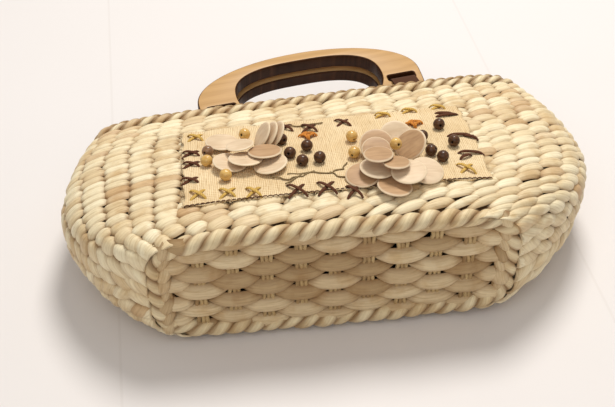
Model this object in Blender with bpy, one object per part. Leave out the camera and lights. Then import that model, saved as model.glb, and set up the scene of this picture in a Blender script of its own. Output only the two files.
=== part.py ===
"""Woven straw handbag with two wooden handles, lying on its back panel.

Frame: +X along the bag's length, +Y from its base towards its mouth and handles,
+Z up from the back panel to the decorated front panel. Units are metres.
"""

import math

import bmesh
import bpy
import numpy as np
from mathutils import Matrix, Vector
from mathutils.geometry import tessellate_polygon

# Driving dimensions of the basket
BASE_Y = -0.1169            # plane of the base's outer edge
BODY_HEIGHT = 0.1695        # base to mouth, along +Y
MOUTH_SKEW = 0.085          # rise of the mouth per metre of length, to the right
STATIONS = (0.0, 0.10, 0.28, 0.45, 0.65, 0.85, 1.0)              # share of the height
HALF_LENGTH = (0.1080, 0.1320, 0.1560, 0.1655, 0.1630, 0.1540, 0.1420)
FRONT_Z = (0.0810, 0.0825, 0.0800, 0.0765, 0.0690, 0.0590, 0.0525)
BACK_Z = (0.0025, 0.0005, 0.0, 0.0, 0.0, 0.0015, 0.0045)
SQUARENESS = (5.5, 4.2, 3.2, 3.0, 3.6, 5.0, 7.0)                 # superellipse exponent
MIDDLE_X = (-0.0060, -0.0040, -0.0010, 0.0, 0.0, -0.0010, -0.0020)

WALL_THICKNESS = 0.0040
WALL_START, WALL_END = 0.055, 0.976
WALL_RINGS, WALL_COUNT = 10, 56
LINING_GAP = 0.0004
LINING_THICKNESS = 0.0009
BASE_CORD_RADIUS = 0.0042
RIM_CORD_RADIUS = 0.0028
RIM_STATION = 0.995
BASE_THICKNESS = 0.0050
BASE_OUT = 0.0005           # the base's face stands this far inside the cord's outermost line
BOARD_THICKNESS = 0.0024
CLEARANCE = 0.0003

# Decoration on the front panel
PATCH_LEFT, PATCH_RIGHT = -0.0890, 0.0900
PATCH_LOW, PATCH_HIGH = 0.0290, 0.1210      # above the base plane, at the middle
PATCH_SKEW = 0.015
PATCH_THICKNESS = 0.0010
DISC_THICKNESS = 0.0018
PANEL_SLOPE = math.radians(-8.5)
BEAD_RADIUS = 0.0037

# Inside fittings
POCKET_UP, POCKET_WIDTH = (0.045, 0.107), 0.090
POCKET_Z, POCKET_THICKNESS = 0.0061, 0.0010
SNAP_UP = 0.148
SNAP_RADIUS, SNAP_THICKNESS, SNAP_STEP = 0.0072, 0.0016, 0.0012
FRONT_SNAP_Z, FRONT_SNAP_SLOPE = 0.0503, math.radians(-15.0)
BACK_SNAP_Z, BACK_SNAP_SLOPE = 0.0092, math.radians(5.5)

# Handles
HANDLE_THICKNESS = 0.0110
HANDLE_SKEW = 0.17          # turn of both handles about +Z, as a slope
HANDLE_X = 0.0040
FRONT_HINGE = (0.0631, 0.0375)      # Y and Z of the axis at HANDLE_X
BACK_HINGE = (0.0653, 0.0195)
FRONT_RAISE, BACK_RAISE = math.radians(9.0), math.radians(15.0)
ARCH_START = 0.0138         # the legs end and the arch begins at this height
LEG_END = -0.0042
OUTER_HALF, OUTER_FOOT, OUTER_TOP, OUTER_ROUND = 0.0815, 0.0805, 0.0500, 2.05
INNER_HALF, INNER_FOOT, INNER_TOP, INNER_ROUND = 0.0530, 0.0455, 0.0410, 2.8
EDGE_RADIUS = 0.0012
SLOT_MIDDLE, SLOT_HALF_WIDTH = 0.0660, 0.0100
SLOT_LOW, SLOT_HIGH = 0.0042, 0.0100
STRAP_HALF_WIDTH = 0.0090
STRAP_INNER_RADIUS, STRAP_THICKNESS = 0.0070, 0.0011
STRAP_TAILS = {"left": 0.020, "right": 0.031}
STRAP_RISE = math.radians(3.0)

# Petal discs: right, up, height (mm), tip about X, tip about Y (degrees), radius (mm)
RIGHT_FLOWER = (0.0325, 0.0440)
RIGHT_PETALS = {
    "front": (-1.0, -19.0, 2.75, 4, 8, 10.3),
    "front_left": (-17.5, -6.0, 3.5, 14, -4, 10.3),
    "right": (19.5, -8.0, 4.5, 20, 8, 10.3),
    "mid_left": (-9.0, -5.0, 7.0, 6, 6, 10.3),
    "mid_right": (8.0, -13.5, 8.5, 12, -4, 10.3),
    "behind": (8.0, 28.5, 7.5, 40, 0, 10.0),
    "left_standing": (-5.0, 21.5, 6.75, 34, 0, 10.3),
    "inner_standing": (-6.5, 13.0, 8.25, 30, 0, 9.0),
    "right_standing": (14.5, 16.0, 8.25, 30, -32, 10.3),
    "small_front": (1.5, -9.0, 12.75, -2, 2, 8.0),
    "seat": (-8.0, -2.0, 15.0, 2, 0, 8.8),
}
LEFT_FLOWER = (-0.0525, 0.0800)
LEFT_PETALS = {
    "front_left": (-8.5, -15.0, 3.5, 3, 10, 10.3),
    "front_right": (15.5, -21.0, 3.25, 3, -10, 10.3),
    "back_left": (-12.0, 13.0, 3.25, 0, 4, 10.3),
    "fan_right": (21.5, 7.0, 8.5, 14, -55, 8.6),
    "fan_middle": (17.5, 7.0, 8.5, 14, -55, 8.6),
    "fan_left": (13.0, 7.5, 8.5, 14, -55, 8.6),
    "mid": (1.0, -16.5, 6.0, -6, 4, 10.3),
    "mid_right": (13.0, -12.0, 7.25, -6, 0, 10.3),
    "mid_back": (-1.5, -4.5, 9.25, -6, -6, 8.6),
}
# Beads: right and up from the base plane's middle, height above the cloth (mm)
DARK_BEADS = (
    (71.0, 90.0, 4.1), (57.5, 76.0, 4.1), (59.5, 58.5, 4.1), (75.5, 68.0, 4.1), (65.0, 51.0, 4.1),
    (-28.0, 87.0, 4.1), (-24.5, 68.5, 4.1), (-13.5, 75.5, 4.1), (-18.0, 58.5, 4.1), (-7.5, 60.5, 4.1),
)
PALE_BEADS = (
    (36.5, 52.0, 15.0), (15.0, 82.5, 4.1), (13.5, 62.5, 4.1), (-50.0, 98.0, 5.0),
    (-74.5, 69.5, 4.1), (-73.5, 81.0, 4.1), (-64.0, 51.0, 4.1),
)


def profile(values, share):
    """Smooth curve through the values at STATIONS (cubic Hermite, averaged slopes)."""
    stations = np.array(STATIONS)
    heights = np.array(values)
    steps = np.diff(heights) / np.diff(stations)
    slopes = np.concatenate(([steps[0]], (steps[:-1] + steps[1:]) / 2.0, [steps[-1]]))
    i = int(np.clip(np.searchsorted(stations, share) - 1, 0, len(stations) - 2))
    span = stations[i + 1] - stations[i]
    u = (share - stations[i]) / span
    start = (2 * u**3 - 3 * u**2 + 1) * heights[i] + (u**3 - 2 * u**2 + u) * span * slopes[i]
    end = (3 * u**2 - 2 * u**3) * heights[i + 1] + (u**3 - u**2) * span * slopes[i + 1]
    return float(start + end)


def height_to_y(share, x):
    return BASE_Y + share * (BODY_HEIGHT + MOUTH_SKEW * x)


def back_height(share):
    return max(0.0, profile(BACK_Z, share))


def outline(share, count, inset=0.0):
    """Evenly spaced points round the basket's section at a share of its height."""
    half = profile(HALF_LENGTH, share) - inset
    top = profile(FRONT_Z, share) - inset
    low = back_height(share) + inset
    power = 2.0 / profile(SQUARENESS, share)
    turn = np.linspace(-math.pi / 2, 1.5 * math.pi, 961)
    x = half * np.sign(np.cos(turn)) * np.abs(np.cos(turn)) ** power
    z = (top - low) / 2 * np.sign(np.sin(turn)) * np.abs(np.sin(turn)) ** power
    run = np.concatenate(([0.0], np.cumsum(np.hypot(np.diff(x), np.diff(z)))))
    even = np.linspace(0.0, run[-1], count, endpoint=False)
    x = np.interp(even, run, x) + profile(MIDDLE_X, share)
    z = np.interp(even, run, z) + (top + low) / 2
    return np.stack([x, height_to_y(share, x), z], axis=-1)


def basket_grid(start, end, rings, count):
    return np.stack([outline(share, count) for share in np.linspace(start, end, rings)])


def outward(grid):
    """Unit normals of a grid of rings, pointing out of the basket."""
    around = np.roll(grid, -1, axis=1) - np.roll(grid, 1, axis=1)
    along = np.gradient(grid, axis=0)
    normals = np.cross(along, around)
    return normals / np.linalg.norm(normals, axis=2, keepdims=True)


def front_height(x, up):
    """Height of the front panel over a point up above the base plane."""
    share = up / (BODY_HEIGHT + MOUTH_SKEW * x)
    across = abs(x - profile(MIDDLE_X, share)) / profile(HALF_LENGTH, share)
    power = profile(SQUARENESS, share)
    top = profile(FRONT_Z, share)
    low = back_height(share)
    return (top + low) / 2 + (top - low) / 2 * (1 - across**power) ** (1 / power)


def make_material(name, colour, roughness, metallic=0.0):
    material = bpy.data.materials.new(name)
    material.use_nodes = True
    shader = material.node_tree.nodes["Principled BSDF"]
    shader.inputs["Base Color"].default_value = (*colour, 1.0)
    shader.inputs["Roughness"].default_value = roughness
    shader.inputs["Metallic"].default_value = metallic
    material.diffuse_color = (*colour, 1.0)
    return material


def add_object(name, data, material, matrix=None):
    body = bpy.data.objects.new(name, data)
    bpy.context.scene.collection.objects.link(body)
    body.data.materials.append(material)
    if matrix is not None:
        body.matrix_world = matrix
    return body


def add_mesh(name, points, faces, material, matrix=None, sharp_angle=40.0):
    mesh = bpy.data.meshes.new(name)
    mesh.from_pydata([tuple(map(float, point)) for point in points], [], faces)
    work = bmesh.new()
    work.from_mesh(mesh)
    bmesh.ops.recalc_face_normals(work, faces=work.faces)
    work.to_mesh(mesh)
    work.free()
    mesh.shade_smooth()
    mesh.set_sharp_from_angle(angle=math.radians(sharp_angle))
    return add_object(name, mesh, material, matrix)


def ring_faces(first, second, count):
    """Quads between two closed rings whose vertices start at first and second."""
    return [
        (first + i, first + (i + 1) % count, second + (i + 1) % count, second + i)
        for i in range(count)
    ]


def ring_triangles(first, second, count):
    """The same band cut along one fixed diagonal, so that nested shells keep their gap."""
    faces = []
    for i in range(count):
        ahead = (i + 1) % count
        faces.append((first + i, first + ahead, second + ahead))
        faces.append((first + i, second + ahead, second + i))
    return faces


def shell_faces(rings, count):
    """Faces of an open tube of wall: outer rings, inner rings, and both edges."""
    inner = rings * count
    faces = []
    for ring in range(rings - 1):
        for start in (0, inner):
            faces += ring_triangles(start + ring * count, start + (ring + 1) * count, count)
    faces += ring_faces(inner, 0, count)
    faces += ring_faces((rings - 1) * count, inner + (rings - 1) * count, count)
    return faces


def make_wall(material):
    rings, count = WALL_RINGS, WALL_COUNT
    outer = basket_grid(WALL_START, WALL_END, rings, count)
    inner = outer - WALL_THICKNESS * outward(outer)
    points = np.concatenate([outer.reshape(-1, 3), inner.reshape(-1, 3)])
    add_mesh("woven_wall", points, shell_faces(rings, count), material)


def make_lining(material):
    """A sewn fabric bag: open at the mouth, closed over the base board."""
    rings, count = WALL_RINGS, WALL_COUNT
    grid = basket_grid(WALL_START, WALL_END, rings, count)
    normals = outward(grid)
    outer = grid - (WALL_THICKNESS + LINING_GAP) * normals
    inner = grid - (WALL_THICKNESS + LINING_GAP + LINING_THICKNESS) * normals
    inner[0, :, 1] += LINING_THICKNESS
    middles = [outer[0].mean(axis=0), inner[0].mean(axis=0)]
    points = np.concatenate([outer.reshape(-1, 3), inner.reshape(-1, 3), middles])
    start = rings * count
    faces = [face for face in shell_faces(rings, count) if not spans_bottom(face, start, count)]
    for first, middle in ((0, 2 * start), (start, 2 * start + 1)):
        faces += [(first + i, first + (i + 1) % count, middle) for i in range(count)]
    add_mesh("fabric_lining", points, faces, material)


def spans_bottom(face, inner_start, count):
    """True for the faces that join the outer and inner bottom rings."""
    return all(index < count or inner_start <= index < inner_start + count for index in face)


def make_closed_tube(name, path, radius, sides, material):
    """A cord of round section along a closed path."""
    ahead = np.roll(path, -1, axis=0) - np.roll(path, 1, axis=0)
    ahead /= np.linalg.norm(ahead, axis=1, keepdims=True)
    up = np.cross(ahead, np.array([0.0, 1.0, 0.0]))
    up /= np.linalg.norm(up, axis=1, keepdims=True)
    side = np.cross(up, ahead)
    points = []
    for i in range(len(path)):
        for k in range(sides):
            turn = 2 * math.pi * k / sides
            points.append(path[i] + radius * (math.cos(turn) * up[i] + math.sin(turn) * side[i]))
    faces = []
    for i in range(len(path)):
        faces += ring_faces(i * sides, (i + 1) % len(path) * sides, sides)
    add_mesh(name, points, faces, material, sharp_angle=80.0)


def make_base_cord(material):
    path = outline(0.0, 56, inset=BASE_CORD_RADIUS)
    path[:, 1] += BASE_CORD_RADIUS
    make_closed_tube("base_edge_cord", path, BASE_CORD_RADIUS, 10, material)


def make_rim_cord(material):
    path = outline(RIM_STATION, 56, inset=RIM_CORD_RADIUS)
    make_closed_tube("mouth_rim_cord", path, RIM_CORD_RADIUS, 8, material)


def make_plate(name, flat_outline, low_y, thickness, material):
    """A flat slab with the given outline, from low_y towards +Y."""
    count = len(flat_outline)
    points = []
    for y in (low_y, low_y + thickness):
        points += [(x, y, z) for x, _, z in flat_outline]
        points.append((float(np.mean(flat_outline[:, 0])), y, float(np.mean(flat_outline[:, 2]))))
    second = count + 1
    faces = ring_faces(0, second, count)
    faces += [(i, (i + 1) % count, count) for i in range(count)]
    faces += [(second + i, second + (i + 1) % count, second + count) for i in range(count)]
    add_mesh(name, points, faces, material)


def make_base(straw, board):
    inset = 2 * BASE_CORD_RADIUS + CLEARANCE
    edge = outline(0.0, 48, inset=inset)
    make_plate("woven_base", edge, BASE_Y + BASE_OUT, BASE_THICKNESS, straw)
    board_edge = outline(0.0, 48, inset=inset + 0.001)
    board_y = BASE_Y + BASE_OUT + BASE_THICKNESS + CLEARANCE
    make_plate("base_board", board_edge, board_y, BOARD_THICKNESS, board)


def make_patch(material):
    """The cloth that lies on the front panel, following its curve."""
    columns, rows = 17, 8
    points = []
    for lift in (CLEARANCE, CLEARANCE + PATCH_THICKNESS):
        for row in range(rows):
            for column in range(columns):
                x = PATCH_LEFT + (PATCH_RIGHT - PATCH_LEFT) * column / (columns - 1)
                up = PATCH_LOW + (PATCH_HIGH - PATCH_LOW) * row / (rows - 1) + PATCH_SKEW * x
                points.append((x, BASE_Y + up, front_height(x, up) + lift))
    sheet = columns * rows
    faces = []
    for row in range(rows - 1):
        for column in range(columns - 1):
            i = row * columns + column
            faces.append((i, i + 1, i + columns + 1, i + columns))
            faces.append((sheet + i, sheet + i + columns, sheet + i + columns + 1, sheet + i + 1))
    edge = list(range(columns))
    edge += [row * columns + columns - 1 for row in range(1, rows)]
    edge += [(rows - 1) * columns + column for column in range(columns - 2, -1, -1)]
    edge += [row * columns for row in range(rows - 2, 0, -1)]
    for here, there in zip(edge, edge[1:] + edge[:1]):
        faces.append((here, sheet + here, sheet + there, there))
    add_mesh("burlap_patch", points, faces, material)


def panel_point(right, up, height):
    """A point over the cloth: right and up in metres, height above the cloth's top."""
    top = front_height(right, up) + CLEARANCE + PATCH_THICKNESS
    return Vector((right, BASE_Y + up, top + height))


def make_petals(flower, middle, petals, material):
    for name, (right, up, height, tip_x, tip_y, radius) in petals.items():
        centre = panel_point(middle[0] + right / 1000, middle[1] + up / 1000, height / 1000)
        turn = Matrix.Rotation(math.radians(tip_x) + PANEL_SLOPE, 4, "X")
        turn = turn @ Matrix.Rotation(math.radians(tip_y), 4, "Y")
        mesh = bpy.data.meshes.new(name)
        work = bmesh.new()
        bmesh.ops.create_cone(
            work, cap_ends=True, segments=20, radius1=radius / 1000, radius2=radius / 1000,
            depth=DISC_THICKNESS,
        )
        work.to_mesh(mesh)
        work.free()
        mesh.shade_smooth()
        mesh.set_sharp_from_angle(angle=math.radians(40))
        add_object(f"{flower}_petal_{name}", mesh, material, Matrix.Translation(centre) @ turn)


def make_beads(prefix, places, material):
    for number, (right, up, height) in enumerate(places, start=1):
        mesh = bpy.data.meshes.new(prefix)
        work = bmesh.new()
        bmesh.ops.create_uvsphere(work, u_segments=10, v_segments=7, radius=BEAD_RADIUS)
        work.to_mesh(mesh)
        work.free()
        mesh.shade_smooth()
        centre = panel_point(right / 1000, up / 1000, height / 1000)
        add_object(f"{prefix}_{number}", mesh, material, Matrix.Translation(centre))


def arch(half, foot, top, roundness, steps):
    """Half-outline of a handle, right foot to left foot: straight legs and a round arch."""
    points = [(foot, LEG_END), (foot + (half - foot) * 0.7, ARCH_START / 2)]
    for step in range(steps + 1):
        turn = math.pi * step / steps
        across = math.copysign(abs(math.cos(turn)) ** (2 / roundness), math.cos(turn))
        rise = math.sin(turn) ** (2 / roundness) if 0 < step < steps else 0.0
        points.append((half * across, ARCH_START + (top - ARCH_START) * rise))
    points += [(-x, y) for x, y in reversed(points[:2])]
    return points


def add_plate(name, outer, holes, thickness, material, matrix):
    """A flat plate in its own XY plane with softened edges, from an outline and its holes."""
    half = thickness / 2
    flat = [[Vector((x, y, 0.0)) for x, y in loop] for loop in [outer] + holes]
    shrunk = [inset_loop(loop, EDGE_RADIUS) for loop in flat]
    levels = ((half, shrunk), (half - EDGE_RADIUS, flat), (EDGE_RADIUS - half, flat), (-half, shrunk))
    points = []
    starts = []
    for z, loops in levels:
        starts.append(len(points))
        points += [(point.x, point.y, z) for loop in loops for point in loop]
    faces = []
    first = 0
    for loop in flat:
        for above, below in zip(starts, starts[1:]):
            faces += ring_faces(above + first, below + first, len(loop))
        first += len(loop)
    caps = tessellate_polygon(shrunk)
    faces += [tuple(starts[0] + i for i in cap) for cap in caps]
    faces += [tuple(starts[3] + i for i in cap) for cap in caps]
    add_mesh(name, points, faces, material, matrix)


def inset_loop(loop, distance):
    """Move a loop into the material on its left by a distance."""
    moved = []
    for i, here in enumerate(loop):
        back = (here - loop[i - 1]).normalized()
        ahead = (loop[(i + 1) % len(loop)] - here).normalized()
        left = Vector((-back.y - ahead.y, back.x + ahead.x, 0.0)).normalized()
        lean = max(0.4, left.dot(Vector((-back.y, back.x, 0.0))))
        moved.append(here + left * distance / lean)
    return moved


def rounded_corners(points, radius, corners):
    """Replace the corners with the given indices by short arcs."""
    result = []
    for i, here in enumerate(points):
        if i not in corners:
            result.append(here)
            continue
        corner = Vector(here)
        before = (Vector(points[i - 1]) - corner).normalized() * radius
        after = (Vector(points[(i + 1) % len(points)]) - corner).normalized() * radius
        for u in (0.0, 0.25, 0.5, 0.75, 1.0):
            place = corner + before * (1 - u) ** 2 + after * u**2
            result.append((place.x, place.y))
    return result


def handle_outline():
    outer = arch(OUTER_HALF, OUTER_FOOT, OUTER_TOP, OUTER_ROUND, 26)
    inner = arch(INNER_HALF, INNER_FOOT, INNER_TOP, INNER_ROUND, 20)
    whole = outer + inner[::-1]
    feet = {0, len(outer) - 1, len(outer), len(whole) - 1}
    return rounded_corners(whole, 0.004, feet)


def strap_slots():
    slots = []
    for side in (-1, 1):
        left = side * SLOT_MIDDLE - SLOT_HALF_WIDTH
        right = side * SLOT_MIDDLE + SLOT_HALF_WIDTH
        slot = [(left, SLOT_LOW), (left, SLOT_HIGH), (right, SLOT_HIGH), (right, SLOT_LOW)]
        slots.append(rounded_corners(slot, 0.0015, {0, 1, 2, 3}))
    return slots


def hinge_matrix(hinge_y, hinge_z):
    """Frame of a handle's hinge: its local X is the hinge's axis."""
    turn = Matrix.Rotation(math.atan(HANDLE_SKEW), 4, "Z")
    return Matrix.Translation((HANDLE_X, hinge_y, hinge_z)) @ turn


def make_handle(name, hinge, rise, material):
    frame = hinge_matrix(*hinge) @ Matrix.Rotation(rise, 4, "X")
    add_plate(name, handle_outline(), strap_slots(), HANDLE_THICKNESS, material, frame)


def strap_section(tail, side):
    """Section of a band round the handle's bar with a tail into the mouth; side is +1 or -1."""
    outer = STRAP_INNER_RADIUS + STRAP_THICKNESS
    start = math.pi - math.asin(STRAP_INNER_RADIUS / outer)
    rise = tail * math.tan(STRAP_RISE)
    band = [(-tail, outer + rise), (-tail, STRAP_INNER_RADIUS + rise)]
    for turn in np.linspace(start, 2.5 * math.pi, 23):
        band.append((outer * math.cos(turn), outer * math.sin(turn)))
    hole = []
    for turn in np.linspace(0, -2 * math.pi, 20, endpoint=False):
        hole.append((STRAP_INNER_RADIUS * math.cos(turn), STRAP_INNER_RADIUS * math.sin(turn)))
    return [[(x, side * y) for x, y in loop] for loop in (band, hole)]


def make_strap(name, hinge, along, tail, side, material):
    loops = [[Vector((x, y, 0.0)) for x, y in loop] for loop in strap_section(tail, side)]
    count = sum(len(loop) for loop in loops)
    points = []
    for z in (-STRAP_HALF_WIDTH, STRAP_HALF_WIDTH):
        points += [(point.x, point.y, z) for loop in loops for point in loop]
    faces = ring_faces(0, count, len(loops[0]))
    faces += ring_faces(len(loops[0]), count + len(loops[0]), len(loops[1]))
    for start in (0, count):
        faces += [tuple(start + i for i in cap) for cap in tessellate_polygon(loops)]
    lay = Matrix(((0, 0, 1, 0), (1, 0, 0, 0), (0, 1, 0, 0), (0, 0, 0, 1)))
    frame = hinge_matrix(*hinge) @ Matrix.Translation((along, 0, 0)) @ lay
    add_mesh(name, points, faces, material, frame)


def make_straps(material):
    for panel, hinge, side in (("front", FRONT_HINGE, 1), ("back", BACK_HINGE, -1)):
        for hand, along in (("left", -SLOT_MIDDLE), ("right", SLOT_MIDDLE)):
            name = f"{panel}_{hand}_handle_strap"
            make_strap(name, hinge, along, STRAP_TAILS[hand], side, material)


def make_snap_half(name, z, slope, side, material):
    """One half of the magnetic snap: a disc with a stud or a raised ring facing the other half."""
    mesh = bpy.data.meshes.new(name)
    work = bmesh.new()
    disc = bmesh.ops.create_cone(
        work, cap_ends=True, segments=20, radius1=SNAP_RADIUS, radius2=0.92 * SNAP_RADIUS,
        depth=SNAP_THICKNESS,
    )
    face = max({f for v in disc["verts"] for f in v.link_faces}, key=lambda f: f.calc_center_median().z)
    bmesh.ops.inset_region(work, faces=[face], thickness=0.4 * SNAP_RADIUS)
    grown = bmesh.ops.extrude_face_region(work, geom=[face])
    raised = [item for item in grown["geom"] if isinstance(item, bmesh.types.BMVert)]
    bmesh.ops.translate(work, verts=raised, vec=(0, 0, SNAP_STEP))
    bmesh.ops.delete(work, geom=[face], context="FACES_ONLY")
    bmesh.ops.recalc_face_normals(work, faces=work.faces)
    work.to_mesh(mesh)
    work.free()
    flip = Matrix.Rotation(math.pi if side > 0 else 0.0, 4, "X")
    place = Matrix.Translation((HANDLE_X, BASE_Y + SNAP_UP, z)) @ Matrix.Rotation(slope, 4, "X")
    add_object(name, mesh, material, place @ flip)


def make_inside_fittings(fabric, metal):
    low, high = POCKET_UP
    half = POCKET_WIDTH / 2
    corners = ((-half, low), (half, low), (half, high), (-half, high))
    points = []
    for z in (POCKET_Z, POCKET_Z + POCKET_THICKNESS):
        points += [(x, BASE_Y + up, z) for x, up in corners]
    faces = ring_faces(0, 4, 4) + [(0, 1, 2, 3), (4, 5, 6, 7)]
    add_mesh("inner_pocket", points, faces, fabric)
    make_snap_half("front_snap_half", FRONT_SNAP_Z, FRONT_SNAP_SLOPE, 1, metal)
    make_snap_half("back_snap_half", BACK_SNAP_Z, BACK_SNAP_SLOPE, -1, metal)


def main():
    for old in list(bpy.data.objects):
        bpy.data.objects.remove(old, do_unlink=True)
    straw = make_material("straw", (0.72, 0.58, 0.36), 0.62)
    cord = make_material("straw_cord", (0.62, 0.47, 0.26), 0.65)
    fabric = make_material("lining", (0.70, 0.62, 0.48), 0.85)
    board = make_material("board", (0.45, 0.36, 0.26), 0.80)
    burlap = make_material("burlap", (0.68, 0.55, 0.36), 0.90)
    disc = make_material("petal_wood", (0.58, 0.45, 0.33), 0.55)
    dark = make_material("dark_wood", (0.06, 0.03, 0.02), 0.25)
    pale = make_material("pale_wood", (0.68, 0.48, 0.22), 0.45)
    handle = make_material("handle_wood", (0.50, 0.32, 0.15), 0.35)
    strap = make_material("strap", (0.16, 0.09, 0.05), 0.80)
    metal = make_material("snap_metal", (0.60, 0.55, 0.42), 0.30, 1.0)
    make_wall(straw)
    make_base(straw, board)
    make_base_cord(straw)
    make_rim_cord(cord)
    make_lining(fabric)
    make_inside_fittings(fabric, metal)
    make_patch(burlap)
    make_petals("right", RIGHT_FLOWER, RIGHT_PETALS, disc)
    make_petals("left", LEFT_FLOWER, LEFT_PETALS, disc)
    make_beads("dark_bead", DARK_BEADS, dark)
    make_beads("pale_bead", PALE_BEADS, pale)
    make_handle("front_handle", FRONT_HINGE, FRONT_RAISE, handle)
    make_handle("back_handle", BACK_HINGE, BACK_RAISE, handle)
    make_straps(strap)


main()
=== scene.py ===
"""Looks of the woven straw handbag: twined straw, cords, burlap flowers, beads, handles, lining."""

import math

import bmesh
import bpy
import numpy as np
from mathutils import Matrix, Vector
from mathutils.geometry import tessellate_polygon


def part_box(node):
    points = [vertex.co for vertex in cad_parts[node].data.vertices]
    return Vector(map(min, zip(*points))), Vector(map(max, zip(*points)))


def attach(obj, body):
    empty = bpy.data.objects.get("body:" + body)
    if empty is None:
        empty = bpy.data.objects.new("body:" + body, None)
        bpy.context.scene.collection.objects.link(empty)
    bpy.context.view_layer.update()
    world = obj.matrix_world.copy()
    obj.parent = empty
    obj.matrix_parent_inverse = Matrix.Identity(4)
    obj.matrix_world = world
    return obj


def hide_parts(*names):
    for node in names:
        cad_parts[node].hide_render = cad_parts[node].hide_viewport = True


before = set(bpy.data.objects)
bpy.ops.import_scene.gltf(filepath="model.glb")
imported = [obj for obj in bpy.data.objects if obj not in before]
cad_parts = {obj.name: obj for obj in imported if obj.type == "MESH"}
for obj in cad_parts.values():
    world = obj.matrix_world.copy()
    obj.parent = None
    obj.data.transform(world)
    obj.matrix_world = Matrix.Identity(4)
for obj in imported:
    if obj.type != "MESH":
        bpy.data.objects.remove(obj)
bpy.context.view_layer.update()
RNG = np.random.default_rng(11)

# The basket, as in the CAD model
BASE_Y = -0.1169
BODY_HEIGHT, MOUTH_SKEW = 0.1695, 0.085
STATIONS = (0.0, 0.10, 0.28, 0.45, 0.65, 0.85, 1.0)
HALF_LENGTH = (0.1080, 0.1320, 0.1560, 0.1655, 0.1630, 0.1540, 0.1420)
FRONT_Z = (0.0810, 0.0825, 0.0800, 0.0765, 0.0690, 0.0590, 0.0525)
BACK_Z = (0.0025, 0.0005, 0.0, 0.0, 0.0, 0.0015, 0.0045)
SQUARENESS = (5.5, 4.2, 3.2, 3.0, 3.6, 5.0, 7.0)
MIDDLE_X = (-0.0060, -0.0040, -0.0010, 0.0, 0.0, -0.0010, -0.0020)
BASE_CORD_RADIUS, RIM_STATION = 0.0042, 0.995
PATCH_LEFT, PATCH_RIGHT = -0.0890, 0.0900
PATCH_LOW, PATCH_HIGH, PATCH_SKEW = 0.0290, 0.1210, 0.015
PANEL_SLOPE = math.radians(-8.5)

# Handles, as in the CAD model
HANDLE_THICKNESS, HANDLE_SKEW, HANDLE_X = 0.0110, 0.17, 0.0040
FRONT_HINGE, BACK_HINGE = (0.0631, 0.0375), (0.0653, 0.0195)
FRONT_RAISE, BACK_RAISE = math.radians(9.0), math.radians(15.0)
ARCH_START, LEG_END, LEG_STEPS = 0.0138, -0.0042, 6
OUTER_HALF, OUTER_FOOT, OUTER_TOP, OUTER_ROUND = 0.0815, 0.0805, 0.0500, 2.05
INNER_HALF, INNER_FOOT, INNER_TOP, INNER_ROUND = 0.0530, 0.0455, 0.0410, 2.8
SLOT_MIDDLE, SLOT_HALF_WIDTH, SLOT_LOW, SLOT_HIGH = 0.0660, 0.0100, 0.0042, 0.0100

# Tips about X and Y in degrees, and radius in mm, of each wooden disc
DISCS = {
    "right_petal_front": (4, 8, 10.3), "right_petal_front_left": (14, -4, 10.3),
    "right_petal_right": (20, 8, 10.3), "right_petal_mid_left": (6, 6, 10.3),
    "right_petal_mid_right": (12, -4, 10.3), "right_petal_behind": (40, 0, 10.0),
    "right_petal_left_standing": (34, 0, 10.3), "right_petal_inner_standing": (30, 0, 9.0),
    "right_petal_right_standing": (30, -32, 10.3), "right_petal_small_front": (-2, 2, 8.0),
    "right_petal_seat": (2, 0, 8.8), "left_petal_front_left": (3, 10, 10.3),
    "left_petal_front_right": (3, -10, 10.3), "left_petal_back_left": (0, 4, 10.3),
    "left_petal_fan_right": (14, -55, 8.6), "left_petal_fan_middle": (14, -55, 8.6),
    "left_petal_fan_left": (14, -55, 8.6), "left_petal_mid": (-6, 4, 10.3),
    "left_petal_mid_right": (-6, 0, 10.3), "left_petal_mid_back": (-6, -6, 8.6),
}
# Discs given the brown wood. Some are darker wood; right_petal_front and right_petal_front_left are brown
# as painted shade, for faces tilted away from the light.
BROWN_AND_SHADED_DISCS = ("right_petal_inner_standing", "right_petal_seat", "right_petal_left_standing",
               "right_petal_front", "right_petal_front_left", "right_petal_right_standing",
               "left_petal_mid_right", "right_petal_small_front")

# Weave: rows up the wall, between two shares of its height, and husks round each row
COLUMNS = 46
WALL_ROWS = 21
ROWS_FROM, ROWS_TO = 0.048, 0.926
GRID_RINGS, GRID_COUNT = 161, 1200
FRONT_FROM_Z = 0.035            # above this height the wall counts as the front
SHADOW_SHEET_DEPTH = 0.0028             # the dark sheet under the husks: painted shade that shows in the gaps between them

# Base: stakes along the depth, husks over every second stake in each row
BASE_MIDDLE_X, BASE_LOW_Z, BASE_ROWS = -0.006, 0.0085, 10
STAKE_PITCH, BASE_ROW_PITCH, HUSK_REACH = 0.0196, 0.0073, 0.0168

# Floor boards
BOARD_WIDTH, SEAM_SHIFT = 0.297, 0.140


# ---------------------------------------------------------------- the basket's surface

def unit(vectors):
    return vectors / np.linalg.norm(vectors, axis=-1, keepdims=True)


def loop_direction(loop):
    """Unit direction of travel at each point of a closed path."""
    return unit(np.roll(loop, -1, axis=0) - np.roll(loop, 1, axis=0))


def run_along(path):
    """Distance travelled at each point of a path."""
    return np.concatenate(([0.0], np.cumsum(np.linalg.norm(np.diff(path, axis=0), axis=1))))


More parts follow.
